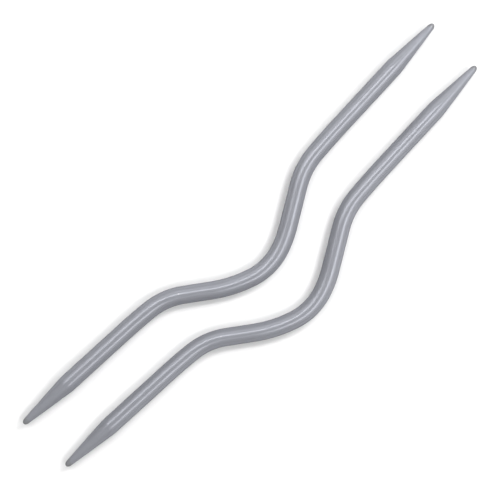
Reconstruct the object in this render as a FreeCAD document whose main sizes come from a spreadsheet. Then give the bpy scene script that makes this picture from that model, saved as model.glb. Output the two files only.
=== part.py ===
"""A pair of cable needles, loose and lying side by side on a table. All lengths in millimetres.

Each needle is one solid aluminium rod, bent in one plane and ground to a blunt point at both
ends. From point A to point B it runs: straight shank, shoulder bend, short leg, dip, short leg,
shoulder bend, straight shank. The dip holds stitches that wait while others are worked.

Frame: +X runs along the line from tip A to tip B, +Y is the side that the dips open to, +Z is
up. The origin is on the table, under the middle of the pair.
"""
import FreeCAD
import Part
import math
import os
import Sketcher

# Driving dimensions: lengths and radii in millimetres, turns in degrees.
DIMENSIONS = {
    "rod_radius": 2.0,              # a 4.0 mm needle
    # a point, from its shoulder, where the rod is full, to the end of its nose
    "point_length": 13.4,
    "blend_radius": 10.0,
    "cheek_radius": 1.3,
    "nose_radius": 0.55,
    "nose_turn": 50.0,
    # the centreline, from the shoulder of point A to the shoulder of point B
    "shank_a_length": 17.0,
    "ease_a_radius": 117.0,
    "ease_a_turn": 3.5,
    "shoulder_a_radius": 15.4,
    "shoulder_a_turn": 30.0,
    "leg_a_length": 6.2,
    "flank_a_radius": 30.6,
    "flank_a_turn": 17.7,
    "floor_radius": 13.8,
    "floor_turn": 36.2,
    "flank_b_radius": 23.6,
    "flank_b_turn": 13.1,
    "leg_b_length": 9.4,
    "shoulder_b_radius": 18.0,
    "shoulder_b_turn": 26.2,
    "ease_b_radius": 200.0,
    "ease_b_turn": 2.4,
    "shank_b_length": 16.8,
    # how far the second needle lies from the first, across and along the tip-to-tip line
    "pair_pitch": 13.2,
    "pair_stagger": 0.2,
}

# The centreline's runs in order: 0 is straight, -1 bends to the right and +1 to the left.
STRAIGHT, RIGHT, LEFT = 0, -1, 1
RUNS = (
    ("shank_a", STRAIGHT),
    ("ease_a", RIGHT),
    ("shoulder_a", RIGHT),
    ("leg_a", STRAIGHT),
    ("flank_a", LEFT),
    ("floor", LEFT),
    ("flank_b", LEFT),
    ("leg_b", STRAIGHT),
    ("shoulder_b", RIGHT),
    ("ease_b", RIGHT),
    ("shank_b", STRAIGHT),
)
NEEDLES = ("first_needle", "second_needle")

X_AXIS = FreeCAD.Vector(1, 0, 0)
Z_AXIS = FreeCAD.Vector(0, 0, 1)
ORIGIN = FreeCAD.Vector(0, 0, 0)
QUARTER_TURN = math.pi / 2
START, END, CENTRE = 1, 2, 3    # the points of a sketch's line or arc
ROOT_POINT = (-1, START)        # a sketch's own origin
SHANK_EDGE = -3                 # the number a sketch gives to the edge it borrows


def make_sheet(doc):
    """Writes the driving dimensions into a spreadsheet, each cell with its name as alias."""
    sheet = doc.addObject("Spreadsheet::Sheet", "Dimensions")
    for row, (name, value) in enumerate(DIMENSIONS.items(), start=1):
        sheet.set(f"A{row}", name)
        sheet.set(f"B{row}", str(value))
        sheet.setAlias(f"B{row}", name)


def add_sketch(body, name, plane_role):
    """Adds an empty sketch on one of the body's own origin planes."""
    sketch = body.newObject("Sketcher::SketchObject", name)
    plane = next(f for f in body.Origin.OriginFeatures if f.Role == plane_role)
    sketch.AttachmentSupport = (plane, [""])
    sketch.MapMode = "FlatFace"
    return sketch


def dimension(sketch, kind, element, name):
    """Dimensions one element of a sketch and ties the dimension to its cell of the sheet."""
    value = DIMENSIONS[name]
    if kind == "Angle":
        value = math.radians(value)
    index = sketch.addConstraint(Sketcher.Constraint(kind, element, value))
    sketch.renameConstraint(index, name)
    sketch.setExpression(f"Constraints.{name}", f"Dimensions.{name}")


def toward(heading):
    """The unit vector at an angle in radians from +X."""
    return FreeCAD.Vector(math.cos(heading), math.sin(heading), 0)


def arc(centre, radius, start, end):
    """An arc that runs anticlockwise between two angles in radians."""
    return Part.ArcOfCircle(Part.Circle(centre, Z_AXIS, radius), start, end)


def draw_straight(sketch, name, place, heading):
    """Draws a straight run. Gives its number, the points it starts and ends at, and its end."""
    end = place + toward(heading) * DIMENSIONS[f"{name}_length"]
    run = sketch.addGeometry(Part.LineSegment(place, end))
    dimension(sketch, "Distance", run, f"{name}_length")
    return run, START, END, end, heading


def draw_bend(sketch, name, side, place, heading):
    """Draws a bend to the left or right. Gives what draw_straight gives."""
    radius = DIMENSIONS[f"{name}_radius"]
    out = heading - side * QUARTER_TURN
    turn = side * math.radians(DIMENSIONS[f"{name}_turn"])
    centre = place - toward(out) * radius
    end = centre + toward(out + turn) * radius
    run = sketch.addGeometry(arc(centre, radius, min(out, out + turn), max(out, out + turn)))
    dimension(sketch, "Radius", run, f"{name}_radius")
    dimension(sketch, "Angle", run, f"{name}_turn")
    enter, leave = (START, END) if side == LEFT else (END, START)
    return run, enter, leave, end, heading + turn


def draw_centreline(body):
    """Draws the rod's centreline as lines and tangent arcs, from the origin along +X."""
    sketch = add_sketch(body, "Centreline", "XY_Plane")
    place, heading, before = ORIGIN, 0.0, None
    for name, side in RUNS:
        if side == STRAIGHT:
            drawn = draw_straight(sketch, name, place, heading)
        else:
            drawn = draw_bend(sketch, name, side, place, heading)
        run, enter, leave, place, heading = drawn
        if before is None:
            sketch.addConstraint(Sketcher.Constraint("Coincident", run, enter, *ROOT_POINT))
            sketch.addConstraint(Sketcher.Constraint("Horizontal", run))
        else:
            sketch.addConstraint(Sketcher.Constraint("Tangent", *before, run, enter))
        before = (run, leave)
    return sketch


def sweep_rod(body, centreline):
    """Sweeps the round section along the whole centreline."""
    section = add_sketch(body, "Section", "YZ_Plane")
    circle = section.addGeometry(Part.Circle(ORIGIN, Z_AXIS, DIMENSIONS["rod_radius"]))
    section.addConstraint(Sketcher.Constraint("Coincident", circle, CENTRE, *ROOT_POINT))
    dimension(section, "Radius", circle, "rod_radius")
    rod = body.newObject("PartDesign::AdditivePipe", "Rod")
    rod.Profile = section
    rod.Spine = (centreline, [f"Edge{number}" for number in range(1, len(RUNS) + 1)])


def draw_outline(body, name, centreline, shank, shank_end, place, heading):
    """Draws half of a point's outline along a shank's line, from its shoulder to its nose.

    From the shoulder outward: a soft blend, a straight taper, a round cheek and a blunt nose.
    The blend and the cheek end square to the taper, at the angle square.
    """
    rod_radius, length, blend_radius = (
        DIMENSIONS[key] for key in ("rod_radius", "point_length", "blend_radius"))
    cheek_radius, nose_radius = DIMENSIONS["cheek_radius"], DIMENSIONS["nose_radius"]
    square = QUARTER_TURN - math.atan2(rod_radius - nose_radius, length)
    nose_turn = math.radians(DIMENSIONS["nose_turn"])
    side = heading + QUARTER_TURN
    blend = place - toward(side) * (blend_radius - rod_radius)
    nose = place + toward(heading) * (length - nose_radius)
    cheek = nose - toward(heading + nose_turn) * (cheek_radius - nose_radius)

    sketch = add_sketch(body, f"{name}Outline", "XY_Plane")
    sketch.addExternal(centreline.Name, shank)
    base, blend_arc, taper, cheek_arc, nose_arc, axis = sketch.addGeometry([
        Part.LineSegment(place, place + toward(side) * rod_radius),
        arc(blend, blend_radius, heading + square, side),
        Part.LineSegment(blend + toward(heading + square) * blend_radius,
                         cheek + toward(heading + square) * cheek_radius),
        arc(cheek, cheek_radius, heading + nose_turn, heading + square),
        arc(nose, nose_radius, heading, heading + nose_turn),
        Part.LineSegment(place + toward(heading) * length, place),
    ])
    sketch.addConstraint([
        Sketcher.Constraint("Coincident", base, START, SHANK_EDGE, shank_end),
        Sketcher.Constraint("Coincident", axis, END, base, START),
        Sketcher.Constraint("Parallel", axis, SHANK_EDGE),
        Sketcher.Constraint("Perpendicular", base, axis),
        Sketcher.Constraint("Perpendicular", base, END, blend_arc, END),
        Sketcher.Constraint("Tangent", blend_arc, START, taper, START),
        Sketcher.Constraint("Tangent", taper, END, cheek_arc, END),
        Sketcher.Constraint("Tangent", cheek_arc, START, nose_arc, END),
        Sketcher.Constraint("Perpendicular", nose_arc, START, axis, START),
    ])
    dimension(sketch, "Distance", base, "rod_radius")
    dimension(sketch, "Distance", axis, "point_length")
    dimension(sketch, "Radius", blend_arc, "blend_radius")
    dimension(sketch, "Radius", cheek_arc, "cheek_radius")
    dimension(sketch, "Radius", nose_arc, "nose_radius")
    dimension(sketch, "Angle", nose_arc, "nose_turn")
    return sketch


def turn_point(body, name, centreline, shank, shank_end, place, heading):
    """Turns a point about its shank's own line, as grinding it does."""
    point = body.newObject("PartDesign::Revolution", name)
    point.Profile = draw_outline(
        body, name, centreline, shank, shank_end, place, heading)
    point.ReferenceAxis = (centreline, [shank])
    point.Angle = 360


def shank_ends(centreline):
    """Each shank's outer end and its heading there, as (place, heading) for A and for B."""
    shank_a, shank_b = centreline.Geometry[0], centreline.Geometry[-1]
    out_a = shank_a.StartPoint - shank_a.EndPoint
    out_b = shank_b.EndPoint - shank_b.StartPoint
    return ((shank_a.StartPoint, math.atan2(out_a.y, out_a.x)),
            (shank_b.EndPoint, math.atan2(out_b.y, out_b.x)))


def make_needle(doc, name):
    """Builds one needle in its own body. Gives the body and its two tips, in its own frame."""
    body = doc.addObject("PartDesign::Body", name)
    body.Label = name
    centreline = draw_centreline(body)
    sweep_rod(body, centreline)
    doc.recompute()
    end_a, end_b = shank_ends(centreline)
    turn_point(body, "PointA", centreline, "Edge1", START, *end_a)
    turn_point(body, "PointB", centreline, f"Edge{len(RUNS)}", END, *end_b)
    doc.recompute()
    reach = DIMENSIONS["point_length"]
    return body, [place + toward(heading) * reach for place, heading in (end_a, end_b)]


def exact_box(shape):
    """The box that the curved faces themselves fill, where BoundBox has room to spare."""
    return shape.optimalBoundingBox(False, False)


def lay_out(bodies, tips):
    """Lays the needles on the table, tip to tip along +X, centred over the origin."""
    tip_a, tip_b = tips
    along_x = FreeCAD.Rotation(tip_b - tip_a, X_AXIS)
    step = FreeCAD.Vector(DIMENSIONS["pair_stagger"], -DIMENSIONS["pair_pitch"], 0)
    for number, body in enumerate(bodies):
        body.Placement = FreeCAD.Placement(step * number, along_x)
    middle = exact_box(Part.Compound([body.Shape for body in bodies])).Center
    middle.z = -DIMENSIONS["rod_radius"]
    for number, body in enumerate(bodies):
        body.Placement = FreeCAD.Placement(step * number - middle, along_x)


def check(doc, bodies):
    """Stops if any object failed, or if a needle isn't one valid closed solid."""
    for item in doc.Objects:
        if {"Invalid", "Error"} & set(item.State):
            raise RuntimeError(f"{item.Label} failed: {item.State}")
    for body in bodies:
        shape = body.Shape
        if shape.isNull() or not shape.isValid() or len(shape.Solids) != 1:
            raise RuntimeError(f"{body.Label} isn't one valid solid")
        print(f"{body.Label}: {shape.Volume:.1f} mm3, {len(shape.Faces)} faces, "
              f"{exact_box(shape)}")


def main():
    """Builds both needles and writes one file for each."""
    doc = FreeCAD.newDocument("CableNeedles")
    make_sheet(doc)
    doc.recompute()
    needles = [make_needle(doc, name) for name in NEEDLES]
    bodies = [body for body, _ in needles]
    lay_out(bodies, needles[0][1])
    doc.recompute()
    check(doc, bodies)
    os.makedirs("parts", exist_ok=True)
    for body in bodies:
        body.Shape.exportStep(f"parts/{body.Label}.step")


main()
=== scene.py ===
"""Two cable needles of lacquered aluminium rod, lying side by side on a pale table.

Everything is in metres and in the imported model's frame: +X runs along the needles from tip A to
tip B, +Y is the side that their dips open to, and +Z is up from the table.
"""
import logging
import math
from dataclasses import dataclass
from enum import Enum
from functools import cached_property

import bmesh
import bpy
from mathutils import Matrix, Vector


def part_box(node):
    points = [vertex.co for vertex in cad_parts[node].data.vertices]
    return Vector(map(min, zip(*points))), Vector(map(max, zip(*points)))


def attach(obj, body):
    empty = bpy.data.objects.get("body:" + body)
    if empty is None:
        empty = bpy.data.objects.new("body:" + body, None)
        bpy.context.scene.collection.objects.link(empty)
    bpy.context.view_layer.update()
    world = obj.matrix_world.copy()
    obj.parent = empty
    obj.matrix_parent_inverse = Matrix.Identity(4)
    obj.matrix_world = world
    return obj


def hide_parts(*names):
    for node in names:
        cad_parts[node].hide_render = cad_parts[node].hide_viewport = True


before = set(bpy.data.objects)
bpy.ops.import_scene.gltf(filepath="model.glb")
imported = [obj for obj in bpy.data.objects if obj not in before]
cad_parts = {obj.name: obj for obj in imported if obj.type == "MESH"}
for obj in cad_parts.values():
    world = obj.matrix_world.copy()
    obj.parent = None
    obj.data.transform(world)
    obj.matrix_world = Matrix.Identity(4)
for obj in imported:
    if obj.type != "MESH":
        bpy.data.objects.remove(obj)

MM = 0.001
TOUCH = MM / 1000       # points nearer to each other than this are one point
LOG = logging.getLogger("cable_needles")


class Way(Enum):
    """Which way a run of the rod goes, seen from above."""

    STRAIGHT = 0
    RIGHT = -1
    LEFT = 1


@dataclass(frozen=True)
class Run:
    """One run of the rod's centreline: straight, with a length, or bent, with a radius and a turn.

    Lengths and radii are in millimetres and the turn is in degrees, as a rod bender is set.
    """

    way: Way
    length: float = 0.0
    radius: float = 0.0
    turn: float = 0.0

    @property
    def reach(self) -> float:
        """The run's length along the centreline.

        Returns:
            The length, in metres.
        """
        if self.way is Way.STRAIGHT:
            return self.length * MM
        return self.radius * MM * math.radians(self.turn)

    @property
    def bend(self) -> float:
        """The change of heading over the whole run, in radians, positive to the left."""
        return self.way.value * math.radians(self.turn)


@dataclass(frozen=True)
class Station:
    """A place on the centreline: how far along it lies, where it is and how the rod heads there."""

    along: float
    place: Vector
    heading: float

    @property
    def ahead(self) -> Vector:
        """The unit vector along the rod."""
        return Vector((math.cos(self.heading), math.sin(self.heading), 0))

    @property
    def aside(self) -> Vector:
        """The unit vector to the rod's left, level with the table."""
        return Vector((-math.sin(self.heading), math.cos(self.heading), 0))

    def bend_centre(self, run: Run) -> Vector:
        """The point that a bent run, starting here, turns about."""
        return self.place + self.aside * run.way.value * run.radius * MM

    def after(self, run: Run) -> "Station":
        """Goes from this station to the end of a run that starts here.

        Args:
            run: The run to go along.

        Returns:
            The station at the run's end.
        """
        if run.way is Way.STRAIGHT:
            end = self.place + self.ahead * run.reach
        else:
            centre = self.bend_centre(run)
            end = centre + Matrix.Rotation(run.bend, 3, "Z") @ (self.place - centre)
        return Station(self.along + run.reach, end, self.heading + run.bend)


@dataclass(frozen=True)
class Centreline:
    """The line that the rod follows, from the shoulder of point A to the shoulder of point B."""

    runs: tuple[Run, ...]

    @cached_property
    def stations(self) -> list[Station]:
        """Follows the runs from one end of the rod to the other.

        Returns:
            Where each run starts, and last where the rod ends.
        """
        stations = [Station(0.0, Vector((0, 0, 0)), 0.0)]
        for run in self.runs:
            stations.append(stations[-1].after(run))
        return stations

    def heading_at(self, along: float) -> float:
        """Works out the rod's heading at a distance along it.

        Args:
            along: The distance from the rod's start, in metres.

        Returns:
            The heading, in radians.
        """
        heading = 0.0
        for station, run in zip(self.stations, self.runs):
            share = min(max((along - station.along) / run.reach, 0.0), 1.0)
            heading += run.bend * share
        return heading

    def locate(self, place: Vector) -> tuple[float, float]:
        """Finds a point's place beside the centreline.

        Args:
            place: A point on the rod, before it is laid on the table.

        Returns:
            How far along the rod it is, and how far to the left of the centreline, in metres.
        """
        stations = self.stations
        found, least = (0.0, 0.0), math.inf
        for number, run in enumerate(self.runs):
            station = stations[number]
            if run.way is Way.STRAIGHT:
                forward = (place - station.place).dot(station.ahead)
                left = (place - station.place).dot(station.aside)
            else:
                side, centre = run.way.value, station.bend_centre(run)
                start = (station.place - centre).to_2d()
                spoke = (place - centre).to_2d()
                forward = -side * start.angle_signed(spoke) * run.radius * MM
                left = side * (run.radius * MM - spoke.length)
            before = -forward if number else 0.0
            beyond = forward - run.reach if number < len(self.runs) - 1 else 0.0
            miss = max(before, beyond, 0.0)
            if miss < least:
                found, least = (station.along + forward, left), miss
        return found


@dataclass(frozen=True)
class Point:
    """The turned point at each end of the rod: soft blend, straight taper, cheek and blunt nose.

    Lengths and radii are in millimetres, and the nose's turn is in degrees.
    """

    rod_radius: float = 2.0
    length: float = 13.4
    blend_radius: float = 10.0
    cheek_radius: float = 1.3
    nose_radius: float = 0.55
    nose_turn: float = 50.0
    blend_rings: int = 4
    taper_rings: int = 12
    cheek_rings: int = 6
    nose_rings: int = 7

    def outline(self) -> list[tuple[float, float]]:
        """Works out the rings of the point.

        Returns:
            Each ring's distance from the shoulder and its radius, in metres, nose last.
        """
        nose = Vector((self.length - self.nose_radius, 0))
        lean = math.radians(self.nose_turn)
        cheek = nose - Vector((math.cos(lean), math.sin(lean))) * (self.cheek_radius - self.nose_radius)
        blend = Vector((0, self.rod_radius - self.blend_radius))
        apart = cheek - blend
        square = math.atan2(apart.y, apart.x) + math.acos(
            (self.blend_radius - self.cheek_radius) / apart.length)
        shoulder = self._arc(blend, self.blend_radius, math.pi / 2, square, self.blend_rings)[1:]
        round_end = (self._arc(cheek, self.cheek_radius, square, lean, self.cheek_rings)
                     + self._arc(nose, self.nose_radius, lean, 0, self.nose_rings)[1:-1])
        foot, top = shoulder[-1], round_end[0]
        taper = [foot.lerp(top, ring / self.taper_rings) for ring in range(1, self.taper_rings)]
        return [(p.x * MM, p.y * MM) for p in shoulder + taper + round_end]

    @staticmethod
    def _arc(centre: Vector, radius: float, start: float, end: float, steps: int) -> list[Vector]:
        """The points along an arc, both ends included, with its angles in radians from the axis."""
        angles = [start + (end - start) * step / steps for step in range(steps + 1)]
        return [centre + Vector((math.cos(a), math.sin(a))) * radius for a in angles]


@dataclass
class NeedleRod:
    """One bent rod with its two points, modelled with its first shoulder at the origin."""

    centreline: Centreline = Centreline((
        Run(Way.STRAIGHT, length=17.0),                 # shank A
        Run(Way.RIGHT, radius=117.0, turn=3.5),         # ease into the shoulder
        Run(Way.RIGHT, radius=15.4, turn=30.0),         # shoulder A
        Run(Way.STRAIGHT, length=6.2),                  # leg A
        Run(Way.LEFT, radius=30.6, turn=17.7),          # flank A of the dip
        Run(Way.LEFT, radius=13.8, turn=36.2),          # floor of the dip
        Run(Way.LEFT, radius=23.6, turn=13.1),          # flank B of the dip
        Run(Way.STRAIGHT, length=9.4),                  # leg B
        Run(Way.RIGHT, radius=18.0, turn=26.2),         # shoulder B
        Run(Way.RIGHT, radius=200.0, turn=2.4),         # ease out of the shoulder
        Run(Way.STRAIGHT, length=16.8),                 # shank B
    ))
    point: Point = Point()
    sides: int = 96
    ring_gap: float = 0.6           # millimetres between rings on a straight run
    bend_step: float = 1.8          # degrees between rings on a bend
    strain_window: float = 2.5      # millimetres over which a bend's stretch fades in and out

    def build(self) -> bpy.types.Object:
        """Models the rod from a ring: it is extruded and spun along the centreline.

        Returns:
            The rod's object, out of edit mode.
        """
        bpy.ops.object.select_all(action="DESELECT")
        bpy.ops.mesh.primitive_circle_add(
            vertices=self.sides, radius=self.point.rod_radius * MM, fill_type="NOTHING",
            location=(0, 0, 0), rotation=(0, math.pi / 2, 0))
        bpy.ops.object.transform_apply(location=True, rotation=True, scale=True)
        rod = bpy.context.object
        bpy.ops.object.mode_set(mode="EDIT")
        bpy.ops.mesh.select_all(action="SELECT")
        stations = self.centreline.stations
        for station, run in zip(stations, self.centreline.runs):
            self._follow(station, run)
        self._grow_point(stations[-1], forward=True)
        self._select_ring(rod, stations[0])
        self._grow_point(stations[0], forward=False)
        bpy.ops.mesh.select_all(action="SELECT")
        bpy.ops.mesh.remove_doubles(threshold=TOUCH)
        bpy.ops.mesh.normals_make_consistent(inside=False)
        bpy.ops.object.mode_set(mode="OBJECT")
        bpy.ops.object.shade_smooth()
        self._mark_surface(rod.data)
        return rod

    def _follow(self, station: Station, run: Run) -> None:
        """Carries the selected ring along a run, leaving the rod's wall behind it.

        Args:
            station: Where the run starts.
            run: The run to follow.
        """
        if run.way is Way.STRAIGHT:
            steps = math.ceil(run.length / self.ring_gap)
            step = station.ahead * run.reach / steps
            for _ in range(steps):
                bpy.ops.mesh.extrude_region_move(TRANSFORM_OT_translate={"value": step})
            return
        steps = math.ceil(max(run.turn / self.bend_step, run.reach / MM / self.ring_gap))
        bpy.ops.mesh.spin(
            steps=steps, angle=math.radians(run.turn), center=station.bend_centre(run),
            axis=(0, 0, -run.way.value))

    def _select_ring(self, rod: bpy.types.Object, station: Station) -> None:
        """Selects only the open ring at a station.

        Args:
            rod: The rod, in edit mode.
            station: Where the ring is.
        """
        bpy.ops.mesh.select_all(action="DESELECT")
        mesh = bmesh.from_edit_mesh(rod.data)
        for vertex in mesh.verts:
            vertex.select = abs((vertex.co - station.place).dot(station.ahead)) < TOUCH
        mesh.select_flush(True)
        bmesh.update_edit_mesh(rod.data)

    def _grow_point(self, station: Station, forward: bool) -> None:
        """Extrudes the selected ring into a point and closes its nose.

        Args:
            station: The point's shoulder.
            forward: Whether the point looks along the rod's heading, or back.
        """
        out = station.ahead if forward else -station.ahead
        far_before, radius_before = 0.0, self.point.rod_radius * MM
        for far, radius in self.point.outline():
            bpy.ops.mesh.extrude_region_move(
                TRANSFORM_OT_translate={"value": out * (far - far_before)})
            shrink = radius / radius_before
            bpy.ops.transform.resize(value=(shrink,) * 3, center_override=station.place + out * far)
            far_before, radius_before = far, radius
        bpy.ops.mesh.extrude_region_move(
            TRANSFORM_OT_translate={"value": out * (self.point.length * MM - far_before)})
        bpy.ops.mesh.merge(type="CENTER")

    def _mark_surface(self, mesh: bpy.types.Mesh) -> None:
        """Stores where each point of the skin was on the straight rod, and how bending strained it.

        Args:
            mesh: The rod's mesh, as built, which gets two attributes: unbent, the place on the
                straight rod in metres, and strain, the skin's lengthening as a share.
        """
        window = self.strain_window * MM
        unbent, strain = [], []
        for vertex in mesh.vertices:
            along, left = self.centreline.locate(vertex.co)
            bend = self.centreline.heading_at(along + window) - self.centreline.heading_at(along - window)
            unbent.extend((along, left, vertex.co.z))
            strain.append(-left * bend / (2 * window))
        mesh.attributes.new("unbent", "FLOAT_VECTOR", "POINT").data.foreach_set("vector", unbent)
        mesh.attributes.new("strain", "FLOAT", "POINT").data.foreach_set("value", strain)

    def tip_line(self) -> tuple[Vector, Vector]:
        """Finds the two tips, before the rod is laid on the table.

        Returns:
            The places of tip A and tip B.
        """
        first, last = self.centreline.stations[0], self.centreline.stations[-1]
        reach = self.point.length * MM
        return first.place - first.ahead * reach, last.place + last.ahead * reach

    def lay(self, rod: bpy.types.Object, name: str, node: str, finish: bpy.types.Material) -> None:
        """Lays a copy of the rod where a packed needle lies and lets it stand for that node.

        Args:
            rod: The rod as built.
            name: The new piece's name.
            node: The node and body that it stands for and rides on.
            finish: The material that covers it.
        """
        bpy.ops.object.select_all(action="DESELECT")
        piece = rod.copy()
        piece.data = rod.data.copy()
        piece.name = piece.data.name = name
        bpy.context.scene.collection.objects.link(piece)
        bpy.context.view_layer.objects.active = piece
        piece.select_set(True)
        tip_a, tip_b = self.tip_line()
        turn = Matrix.Rotation(-math.atan2((tip_b - tip_a).y, (tip_b - tip_a).x), 4, "Z")
        low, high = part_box(node)
        turned = [turn @ vertex.co for vertex in piece.data.vertices]
        middle = Vector([(min(axis) + max(axis)) / 2 for axis in zip(*turned)])
        piece.matrix_world = Matrix.Translation((low + high) / 2 - middle) @ turn
        bpy.ops.object.transform_apply(location=True, rotation=True, scale=True)
        piece.data.materials.clear()
        piece.data.materials.append(finish)
        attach(piece, node)
        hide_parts(node)
        LOG.info("%s: %d faces, rides on %s", name, len(piece.data.polygons), node)


class NodeSheet:
    """The shader nodes of one material."""

    def __init__(self, name: str) -> None:
        """Starts a material that holds only a surface shader and its output.

        Args:
            name: The material's name.
        """
        self.material = bpy.data.materials.new(name)
        self.material.use_nodes = True
        self.tree = self.material.node_tree
        self.surface = self.tree.nodes["Principled BSDF"]

    def add(self, kind: str, inputs: dict[str, object] | None = None,
            **settings: object) -> bpy.types.Node:
        """Adds a node.

        Args:
            kind: The node's type.
            inputs: Each socket's name with its value, or the socket that feeds it.
            settings: The node's own settings.

        Returns:
            The new node.
        """
        node = self.tree.nodes.new(kind)
        for name, value in settings.items():
            setattr(node, name, value)
        for name, value in (inputs or {}).items():
            self.feed(node.inputs[name], value)
        return node

    def feed(self, socket: bpy.types.NodeSocket, value: object) -> None:
        """Sets a socket to a value, or links it to another socket.

        Args:
            socket: The socket to feed.
            value: Its value, or the socket that feeds it.
        """
        if isinstance(value, bpy.types.NodeSocket):
            self.tree.links.new(value, socket)
        else:
            socket.default_value = value

    def math(self, operation: str, *values: object, clamp: bool = False) -> bpy.types.NodeSocket:
        """Adds a sum on one or more values.

        Args:
            operation: The sum to do.
            values: The numbers or sockets that go in, in order.
            clamp: Whether the result stays from 0 to 1.

        Returns:
            The result's socket.
        """
        node = self.add("ShaderNodeMath", operation=operation, use_clamp=clamp)
        for socket, value in zip(node.inputs, values):
            self.feed(socket, value)
        return node.outputs[0]

    def ramp(self, value: bpy.types.NodeSocket, start: float, end: float,
             low: float = 0.0, high: float = 1.0) -> bpy.types.NodeSocket:
        """Spreads a range of a value smoothly over another range.

        Args:
            value: The socket that is read.
            start: Where the result starts to change.
            end: Where it has changed.
            low: The result at start and before.
            high: The result at end and after.

        Returns:
            The result's socket.
        """
        node = self.add("ShaderNodeMapRange", interpolation_type="SMOOTHSTEP", inputs={
            "Value": value, "From Min": start, "From Max": end, "To Min": low, "To Max": high})
        return node.outputs["Result"]

    def noise(self, vector: bpy.types.NodeSocket, pitch: tuple[float, float, float],
              detail: float = 2.0) -> bpy.types.NodeSocket:
        """Adds a noise pattern.

        Args:
            vector: The place it is read at.
            pitch: The pattern's grain along each axis, in millimetres.
            detail: How much finer detail it has.

        Returns:
            The pattern, about 0.5 on average.
        """
        mapping = self.add("ShaderNodeMapping", {
            "Vector": vector, "Scale": [1 / (step * MM) for step in pitch]})
        node = self.add("ShaderNodeTexNoise", {
            "Vector": mapping.outputs["Vector"], "Scale": 1.0, "Detail": detail})
        return node.outputs["Fac"]

    def mix(self, share: object, first: object, second: object) -> bpy.types.NodeSocket:
        """Mixes two colours.

        Args:
            share: How much of the second colour there is, from 0 to 1, or the socket that says it.
            first: The first colour, or its socket.
            second: The second colour, or its socket.

        Returns:
            The mixed colour's socket.
        """
        node = self.add("ShaderNodeMix", data_type="RGBA")
        for name, value in (("Factor_Float", share), ("A_Color", first), ("B_Color", second)):
            socket = next(s for s in node.inputs if s.identifier == name)
            self.feed(socket, value)
        return next(s for s in node.outputs if s.identifier == "Result_Color")


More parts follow.
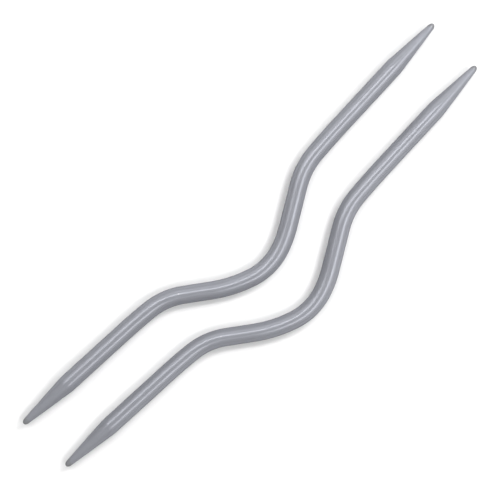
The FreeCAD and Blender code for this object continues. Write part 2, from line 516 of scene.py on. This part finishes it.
@dataclass(frozen=True)
class PearlGreyLacquer:
    """Satin pearl-grey lacquer over a drawn aluminium rod, a little worn at the noses.

    The patterns are read on the straight rod, so they bend with it. Lengths, grains and sizes are
    in millimetres, and a pair of them is along the rod by across it. A band is a pair of levels of a
    pattern, between which its mark comes in. A share is how much of another colour is mixed in.
    Heights and the chip's depth are multiples of the relief.
    """

    colour: tuple[float, float, float, float] = (0.275, 0.283, 0.313, 1)
    shade: tuple[float, float, float, float] = (0.269, 0.276, 0.305, 1)
    flake: tuple[float, float, float, float] = (0.317, 0.325, 0.358, 1)
    worn: tuple[float, float, float, float] = (0.205, 0.208, 0.210, 1)
    bare: tuple[float, float, float, float] = (0.55, 0.55, 0.55, 1)
    metallic: float = 0.24
    roughness: float = 0.23
    gloss: float = 0.0
    edge_tint: tuple[float, float, float, float] = (0.0, 0.0, 0.0, 1)
    wide_band: tuple[float, float] = (0.2, 0.8)
    soft_band: tuple[float, float] = (0.3, 0.7)
    cloud_grain: tuple[float, float] = (5.0, 2.5)
    cloud_roughness: float = 0.015
    flake_grain: tuple[float, float] = (0.17, 0.17)
    flake_band: tuple[float, float] = (0.55, 0.8)
    flake_share: float = 0.25
    flake_roughness: float = 0.01
    draw_grain: tuple[float, float] = (45.0, 0.11)
    draw_band: tuple[float, float] = (0.35, 0.7)
    draw_share: float = 0.06
    draw_height: float = 0.12
    peel_grain: tuple[float, float] = (2.2, 1.1)
    peel_height: float = 0.6
    stretch_grain: tuple[float, float] = (0.2, 1.3)
    stretch_band: tuple[float, float] = (0.45, 0.65)
    stretch_strain: tuple[float, float] = (0.03, 0.17)      # from the first marks to the full ones
    stretch_share: float = 0.07
    stretch_roughness: float = 0.05
    stretch_height: float = 0.35
    worn_length: float = 1.6
    worn_through: float = 0.2       # the share of that length, from the tip, that is worn most
    worn_uneven: float = 0.8
    worn_share: float = 0.7
    chip_along: float = 31.3
    chip_turn: float = 12.0         # degrees from the top of the rod to its left
    chip_size: tuple[float, float] = (0.13, 0.06)
    chip_edge: tuple[float, float] = (0.6, 1.4)     # where its edge fades, in chip sizes
    chip_depth: float = 4.0
    relief: float = 0.006           # millimetres
    relief_strength: float = 0.08

    def make(self, rod_length: float, point: Point) -> bpy.types.Material:
        """Makes the material.

        Args:
            rod_length: The centreline's length from shoulder to shoulder, in metres.
            point: The rod's point, which says where its noses are.

        Returns:
            The material.
        """
        sheet = NodeSheet("pearl_grey_lacquer")
        surface = sheet.surface
        skin = sheet.add("ShaderNodeAttribute", attribute_name="unbent").outputs["Vector"]
        cloud = self._pattern(sheet, skin, self.cloud_grain, detail=3.0)
        flakes = self._pattern(sheet, skin, self.flake_grain, detail=1.0)
        drawn = self._pattern(sheet, skin, self.draw_grain, detail=2.0)
        peel = self._pattern(sheet, skin, self.peel_grain, detail=1.0)
        stretch = self._stretch_marks(sheet, skin)
        worn = self._worn_noses(sheet, skin, cloud, rod_length, point)
        chip = self._chip(sheet, skin, point)
        colour = sheet.mix(sheet.ramp(cloud, *self.soft_band), self.shade, self.colour)
        colour = sheet.mix(sheet.ramp(flakes, *self.flake_band, 0.0, self.flake_share), colour, self.flake)
        colour = sheet.mix(sheet.ramp(drawn, *self.draw_band, self.draw_share, 0.0), colour, self.worn)
        colour = sheet.mix(sheet.math("MULTIPLY", stretch, self.stretch_share), colour, self.flake)
        colour = sheet.mix(worn, colour, self.worn)
        colour = sheet.mix(chip, colour, self.bare)
        sheet.feed(surface.inputs["Base Color"], colour)
        clouded = sheet.ramp(cloud, *self.wide_band, -self.cloud_roughness, self.cloud_roughness)
        rough = sheet.math("ADD", clouded, self.roughness)
        rough = sheet.math("ADD", rough, sheet.math("MULTIPLY", stretch, self.stretch_roughness))
        flaked = sheet.ramp(flakes, *self.soft_band, -self.flake_roughness, self.flake_roughness)
        rough = sheet.math("ADD", rough, flaked)
        sheet.feed(surface.inputs["Roughness"], rough)
        surface.inputs["Metallic"].default_value = self.metallic
        surface.inputs["Specular IOR Level"].default_value = self.gloss
        surface.inputs["Specular Tint"].default_value = self.edge_tint
        height = sheet.math("MULTIPLY", drawn, self.draw_height)
        height = sheet.math("ADD", height, sheet.math("MULTIPLY", peel, self.peel_height))
        height = sheet.math("ADD", height, sheet.math("MULTIPLY", stretch, self.stretch_height))
        height = sheet.math("SUBTRACT", height, sheet.math("MULTIPLY", chip, self.chip_depth))
        bump = sheet.add("ShaderNodeBump", {
            "Height": height, "Strength": self.relief_strength, "Distance": self.relief * MM})
        sheet.feed(surface.inputs["Normal"], bump.outputs["Normal"])
        return sheet.material

    def _pattern(self, sheet: NodeSheet, skin: bpy.types.NodeSocket, grain: tuple[float, float],
                 detail: float) -> bpy.types.NodeSocket:
        """A noise pattern on the skin, with one grain along the rod and another across it."""
        along, across = grain
        return sheet.noise(skin, (along, across, across), detail)

    def _stretch_marks(self, sheet: NodeSheet, skin: bpy.types.NodeSocket) -> bpy.types.NodeSocket:
        """Fine marks across the rod, where bending has stretched the lacquer.

        Args:
            sheet: The material's nodes.
            skin: The place on the straight rod.

        Returns:
            How marked the lacquer is, from 0 to 1.
        """
        strain = sheet.add("ShaderNodeAttribute", attribute_name="strain").outputs["Fac"]
        stretched = sheet.ramp(strain, *self.stretch_strain)
        pattern = self._pattern(sheet, skin, self.stretch_grain, detail=2.0)
        ticks = sheet.ramp(pattern, *self.stretch_band)
        return sheet.math("MULTIPLY", stretched, ticks, clamp=True)

    def _worn_noses(self, sheet: NodeSheet, skin: bpy.types.NodeSocket, cloud: bpy.types.NodeSocket,
                    rod_length: float, point: Point) -> bpy.types.NodeSocket:
        """The wear towards both noses, with an uneven edge.

        Args:
            sheet: The material's nodes.
            skin: The place on the straight rod.
            cloud: The pattern that breaks up the edge.
            rod_length: The centreline's length from shoulder to shoulder, in metres.
            point: The rod's point.

        Returns:
            How worn the lacquer is, from 0 to 1.
        """
        along = sheet.add("ShaderNodeSeparateXYZ", {"Vector": skin}).outputs["X"]
        from_middle = sheet.math("ABSOLUTE", sheet.math("SUBTRACT", along, rod_length / 2))
        uneven = sheet.ramp(cloud, *self.wide_band, -self.worn_uneven * MM, self.worn_uneven * MM)
        far = sheet.math("ADD", from_middle, uneven)
        reach = rod_length / 2 + point.length * MM
        length = self.worn_length * MM
        return sheet.ramp(far, reach - length, reach - length * self.worn_through, 0.0, self.worn_share)

    def _chip(self, sheet: NodeSheet, skin: bpy.types.NodeSocket, point: Point) -> bpy.types.NodeSocket:
        """A tiny chip in the lacquer, beside the top of the rod.

        Args:
            sheet: The material's nodes.
            skin: The place on the straight rod.
            point: The rod's point, which knows the rod's radius.

        Returns:
            1 in the chip and 0 elsewhere.
        """
        turn, radius = math.radians(self.chip_turn), point.rod_radius
        place = Vector((self.chip_along, radius * math.sin(turn), radius * math.cos(turn)))
        along, across = (size * MM for size in self.chip_size)
        size = Vector((along, across, across))
        away = sheet.add("ShaderNodeVectorMath", operation="SUBTRACT")
        sheet.feed(away.inputs[0], skin)
        away.inputs[1].default_value = place * MM
        spread = sheet.add("ShaderNodeVectorMath", operation="DIVIDE")
        sheet.feed(spread.inputs[0], away.outputs["Vector"])
        spread.inputs[1].default_value = size
        length = sheet.add("ShaderNodeVectorMath", operation="LENGTH")
        sheet.feed(length.inputs[0], spread.outputs["Vector"])
        return sheet.ramp(length.outputs["Value"], *self.chip_edge, 1.0, 0.0)


@dataclass(frozen=True)
class TablePaint:
    """Flat white paint of the table top. Its mottle's grain is in millimetres."""

    colour: tuple[float, float, float, float] = (0.8, 0.8, 0.8, 1)
    roughness: float = 0.9
    mottle_grain: float = 60.0
    mottle_share: float = 0.01      # how much darker the mottle is

    def make(self) -> bpy.types.Material:
        """Makes the material, with a faint mottle.

        Returns:
            The material.
        """
        sheet = NodeSheet("table_paint")
        place = sheet.add("ShaderNodeTexCoord").outputs["Object"]
        mottle = sheet.noise(place, (self.mottle_grain,) * 3, detail=3.0)
        darker = tuple(part * (1 - self.mottle_share) for part in self.colour[:3]) + (1,)
        sheet.feed(sheet.surface.inputs["Base Color"], sheet.mix(mottle, darker, self.colour))
        sheet.surface.inputs["Roughness"].default_value = self.roughness
        return sheet.material


@dataclass(frozen=True)
class SoftBox:
    """A rectangular soft light, hung over the table and pointed at the needles.

    The place and the sizes are in metres. The turn, in degrees, is that of its long side from +X,
    seen from above.
    """

    name: str
    brightness: float
    place: tuple[float, float, float]
    length: float
    width: float
    turn: float = 0.0

    def hang(self) -> None:
        """Adds the light. Its power is what gives its face the brightness asked for."""
        light = bpy.data.lights.new(self.name, "AREA")
        light.shape = "RECTANGLE"
        light.size, light.size_y = self.length, self.width
        light.energy = self.brightness * math.pi * self.length * self.width
        place = Vector(self.place)
        out = place.normalized()
        long_side = Matrix.Rotation(math.radians(self.turn), 3, "Z") @ Vector((1, 0, 0))
        long_side = (long_side - out * long_side.dot(out)).normalized()
        facing = Matrix((long_side, out.cross(long_side), out)).transposed()
        lamp = bpy.data.objects.new(self.name, light)
        lamp.matrix_world = Matrix.Translation(place) @ facing.to_4x4()
        lamp.visible_camera = False
        bpy.context.scene.collection.objects.link(lamp)


@dataclass(frozen=True)
class Studio:
    """The table, the lights and the camera that looks straight down at the pair.

    The table's size and the near limit of the camera's view are in metres.
    """

    table_size: float = 6.0
    picture_turn: float = 44.25     # degrees from the picture's right to the needles' tip line
    picture_width: float = 110.19   # millimetres of table that the picture shows
    aim: tuple[float, float] = (-0.75, 5.743)    # millimetres from the origin
    lens: float = 135.0
    near_limit: float = 0.01
    sky: float = 0.1
    lights: tuple[SoftBox, ...] = (
        SoftBox("left_strip", 4.7, (0.090, 0.172, 0.5), 0.31, 0.04, turn=-44),
        SoftBox("left_box", 4.5, (0.025, 0.234, 0.5), 0.48, 0.14, turn=-44),
        SoftBox("right_strip", 7.0, (0.075, -0.273, 0.5), 0.48, 0.04, turn=6),
        SoftBox("right_box", 3.9, (0.075, -0.273, 0.5), 0.46, 0.20, turn=6),
        SoftBox("end_key", 10.5, (0.36, 0.0, 0.37), 0.22, 0.22, turn=90),
        SoftBox("left_key", 0.9, (0.42, 0.42, 0.45), 0.4, 0.4, turn=135),
        SoftBox("right_key", 0.7, (0.42, -0.42, 0.45), 0.4, 0.4, turn=45),
        SoftBox("left_fill", 1.4, (0.1, 0.6, 0.45), 0.5, 0.4),
        SoftBox("right_fill", 0.9, (0.1, -0.6, 0.45), 0.5, 0.4),
        SoftBox("far_fill", 2.0, (-0.6, 0.0, 0.45), 0.4, 0.4, turn=90),
    )

    def build(self) -> None:
        """Sets up the table, the lights, the sky and the camera."""
        bpy.ops.object.select_all(action="DESELECT")
        bpy.ops.mesh.primitive_plane_add(size=self.table_size, location=(0, 0, 0))
        table = bpy.context.object
        table.name = "table"
        table.data.materials.append(TablePaint().make())
        for light in self.lights:
            light.hang()
        world = bpy.data.worlds.new("sky")
        world.use_nodes = True
        world.node_tree.nodes["Background"].inputs["Color"].default_value = (1, 1, 1, 1)
        world.node_tree.nodes["Background"].inputs["Strength"].default_value = self.sky
        bpy.context.scene.world = world
        bpy.context.scene.view_settings.view_transform = "Standard"
        self._add_camera()

    def _add_camera(self) -> None:
        """Adds the camera, overhead, turned so that the needles cross the picture."""
        camera = bpy.data.objects.new("camera", bpy.data.cameras.new("camera"))
        camera.data.lens = self.lens
        camera.data.clip_start = self.near_limit
        rod_height = Point().rod_radius
        away = self.picture_width * self.lens / camera.data.sensor_width
        camera.location = Vector((*self.aim, rod_height + away)) * MM
        camera.rotation_euler = (0, 0, -math.radians(self.picture_turn))
        bpy.context.scene.collection.objects.link(camera)
        bpy.context.scene.camera = camera


def main() -> None:
    """Builds the studio and both needles."""
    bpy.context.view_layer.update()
    Studio().build()
    rod = NeedleRod()
    model = rod.build()
    finish = PearlGreyLacquer().make(rod.centreline.stations[-1].along, rod.point)
    rod.lay(model, "first_cable_needle", "first_needle", finish)
    rod.lay(model, "second_cable_needle", "second_needle", finish)
    bpy.data.objects.remove(model)


if __name__ == "__main__":
    logging.basicConfig(level=logging.INFO)
    main()
